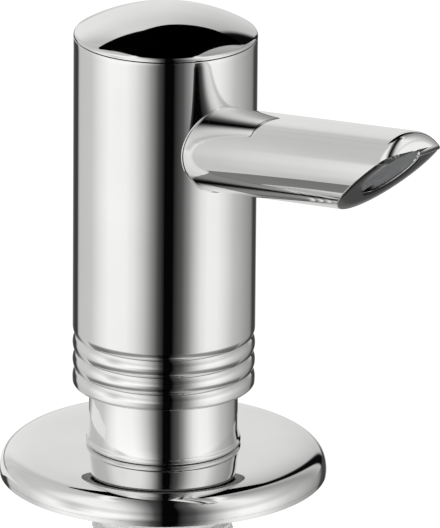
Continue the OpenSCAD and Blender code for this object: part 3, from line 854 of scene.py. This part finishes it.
low_dim, upper_dim, middle_glow = 0.4, 0.2, 0.1
front = rest_of(rise(turn_size, radians(70), radians(125)))
beside = calc("MULTIPLY", rise(turn_size, radians(80), radians(100)), front)
around = dimmed(around, calc("MULTIPLY", beside, band(-0.92, -0.72, -0.58, -0.37)), low_dim)
around = dimmed(around, calc("MULTIPLY", front, band(0.03, 0.18, 0.3, 0.52)), upper_dim)
around = dimmed(around, band(-0.33, -0.12, 0.15, 0.4), -middle_glow)
print("bands dim by", low_dim, "and", upper_dim)

# %% [markdown]
# Behind the object hangs a pale backdrop from the table up to near the zenith, with a narrow dark gap on the
# right. It fades a little with height.

# %% Backdrop with the gap beside it
behind_in, behind = ring([
    (-180, 0.85), (-160, 0.92), (-155, 0.88), (-148, 0.7), (-140, 0.82), (-125, 0.86), (125, 0.6),
    (145, 0.62), (147.5, 0.004), (156, 0.004), (159, 0.58), (168, 0.7), (180, 0.85)])
wlinks.new(turn_share(turn), behind_in)
top_dim = 0.14
backdrop = calc("MULTIPLY", rise(turn_size, radians(128), radians(146)), rise(to_top, -0.1, 0.02))
backdrop = calc("MULTIPLY", backdrop, rest_of(overhead))
room = mix(around, dimmed(behind, rise(to_top, 0.3, 0.7), top_dim), backdrop)
print("backdrop fades by", top_dim)

# %% [markdown]
# The camera, and what it sees through the bottle, get plain white. Reflections get the studio.

# %% What the camera sees
path = wnodes.new("ShaderNodeLightPath")
plain = calc("MAXIMUM", path.outputs["Is Camera Ray"], path.outputs["Is Transmission Ray"])
background = wnodes["Background"]
background.inputs["Color"].default_value = (1, 1, 0.995, 1)
wlinks.new(mix(room, 1.0, plain), background.inputs["Strength"])
print("studio nodes:", len(wnodes))

# %% [markdown]
# The floor is a plain pale plane under the bottle. For the camera most of its brightness is its own, so that
# it stays white far away while it still takes the soft shadow of the object; polished metal looks past it at
# the studio.

# %% Floor
own_level, own_share, floor_gap = 1.07, 0.8, 0.5
bpy.ops.object.select_all(action="DESELECT")
bpy.ops.mesh.primitive_plane_add(size=40, location=(0, 0, solid_box[0][2] - floor_gap * mm))
floor = bpy.context.object
floor.name = "studio_floor"
pale = bpy.data.materials.new("pale_floor")
pale.use_nodes = True
fnodes, flinks = pale.node_tree.nodes, pale.node_tree.links
matt = fnodes["Principled BSDF"]
matt.inputs["Base Color"].default_value = (0.9, 0.9, 0.9, 1)
matt.inputs["Roughness"].default_value = 0.9
own = fnodes.new("ShaderNodeEmission")
own.inputs["Strength"].default_value = own_level
eye = fnodes.new("ShaderNodeLightPath")
either, part_own = fnodes.new("ShaderNodeMath"), fnodes.new("ShaderNodeMath")
either.operation, part_own.operation = "MAXIMUM", "MULTIPLY"
part_own.inputs[1].default_value = own_share
both = fnodes.new("ShaderNodeMixShader")
flinks.new(eye.outputs["Is Camera Ray"], either.inputs[0])
flinks.new(eye.outputs["Is Transmission Ray"], either.inputs[1])
flinks.new(either.outputs[0], part_own.inputs[0])
flinks.new(part_own.outputs[0], both.inputs["Fac"])
flinks.new(matt.outputs["BSDF"], both.inputs[1])
flinks.new(own.outputs["Emission"], both.inputs[2])
flinks.new(both.outputs["Shader"], fnodes["Material Output"].inputs["Surface"])
floor.data.materials.append(pale)
floor.visible_glossy = False
print("floor at", round(floor.location.z, 4))

# %% [markdown]
# A photographer of polished things puts cards round them to give the polish its dark and light shapes. Three
# are used here, and the grey one is painted shade. They are seen only in reflections and throw no light or
# shadow on the object. Like a lamp behind a grid, a card may show only at some slopes: Layer Weight's Facing
# is 0 for a ray that meets the card straight on and 1 for one that grazes it, and a ramp over it says how
# much of the card is seen.

# %% Card helpers
def card_finish(name, surface, level, stops):
    material = bpy.data.materials.new(name)
    material.use_nodes = True
    nodes, links = material.node_tree.nodes, material.node_tree.links
    nodes.remove(nodes["Principled BSDF"])
    slope, ramp = nodes.new("ShaderNodeLayerWeight"), nodes.new("ShaderNodeValToRGB")
    slope.inputs["Blend"].default_value = 0.5
    for k, (place, shown) in enumerate(stops):
        stop = ramp.color_ramp.elements[k] if k < 2 else ramp.color_ramp.elements.new(place)
        stop.position, stop.color = place, (shown, shown, shown, 1)
    clear, paint = nodes.new("ShaderNodeBsdfTransparent"), nodes.new("ShaderNode" + surface)
    paint.inputs["Color"].default_value = (level, level, level, 1)
    seen = nodes.new("ShaderNodeMixShader")
    links.new(slope.outputs["Facing"], ramp.inputs["Fac"])
    links.new(ramp.outputs["Color"], seen.inputs["Fac"])
    links.new(clear.outputs[0], seen.inputs[1])
    links.new(paint.outputs[0], seen.inputs[2])
    links.new(seen.outputs[0], nodes["Material Output"].inputs["Surface"])
    return material

def stage_card(name, corners, height, paint):
    places = [(right * x + away * y + Vector((0, 0, height))) * mm for x, y in corners]
    steps = [end - start for start, end in zip(places, places[1:] + places[:1])]
    card = traced_loop(name, places[0], steps)
    bpy.ops.mesh.remove_doubles(threshold=weld)
    bpy.ops.mesh.edge_face_add()
    bpy.ops.object.mode_set(mode="OBJECT")
    card.data.materials.append(paint)
    card.visible_camera = card.visible_diffuse = card.visible_transmission = card.visible_shadow = False
    print(name, "corners:", len(card.data.vertices))

# %% [markdown]
# The black card hangs overhead and gives the dome its dark shape. Corners are in millimetres to the right of
# the axis and away from the camera.

# %% Black card overhead
black = card_finish("black_card", "Emission", 0.0, [(0, 1), (1, 1)])
stage_card("black_card", [(-27, 0), (-152, 150), (-150, 168), (-45, 172), (0, 205), (100, 250), (160, 262),
                          (178, 240), (140, 175), (45, 15)], 300, black)

# %% [markdown]
# The white card lies beside the flange and lights its edge on the left. It shows only to grazing rays, so
# that the neck and the ribs, which look down on it, don't mirror it.

# %% White card beside the flange
white = card_finish("white_card", "Emission", 0.9, [(0.675, 0), (0.7, 1)])
stage_card("white_card", [(-55, -2), (-55, 16), (-44, 36), (-28, 48), (-22, 24), (-26, -2)], -0.4, white)

# %% [markdown]
# The grey card is painted shade: a part of a ring in front of the flange that stands for the shadow on the
# deck round the flange. It shows only to rays that come down at a middling slope, which are those of the
# ribs' lower halves, and paints their dark lines as a reflection of that shade. The flange's edge looks over
# it.

# %% Grey card in front of the flange
# painted shade: this card darkens what the ribs mirror below them, in place of the flange's shadow on the
# deck
grey = card_finish("deck_shade_card", "BsdfTransparent", 0.32, [(0.08, 0), (0.26, 1), (0.44, 1), (0.63, 0)])
sweep = [radians(-105 + 15 * k) for k in range(15)]
outer, inner = 75, 33.5
stage_card("deck_shade_card", [(outer * sin(a), -outer * cos(a)) for a in sweep]
           + [(inner * sin(a), -inner * cos(a)) for a in reversed(sweep)], -0.6, grey)

# %% [markdown]
# Two large soft lamps, one from the front right and a weaker one from behind, bring plastics and rubber to a
# plain level and give the shadow. Polish doesn't show them.

# %% Lamps
for name, place, power in (("front_lamp", (0.9, -1.0, 1.4), 25), ("back_lamp", (-1.0, 0.9, 1.2), 16)):
    lamp = bpy.data.lights.new(name, "AREA")
    lamp.shape, lamp.size, lamp.energy = "DISK", 1.2, power
    soft = bpy.data.objects.new(name, lamp)
    soft.matrix_world = Matrix.Translation(place) @ Vector(place).to_track_quat("Z", "Y").to_matrix().to_4x4()
    soft.visible_glossy = False
    bpy.context.scene.collection.objects.link(soft)
    print(name, power, "W")
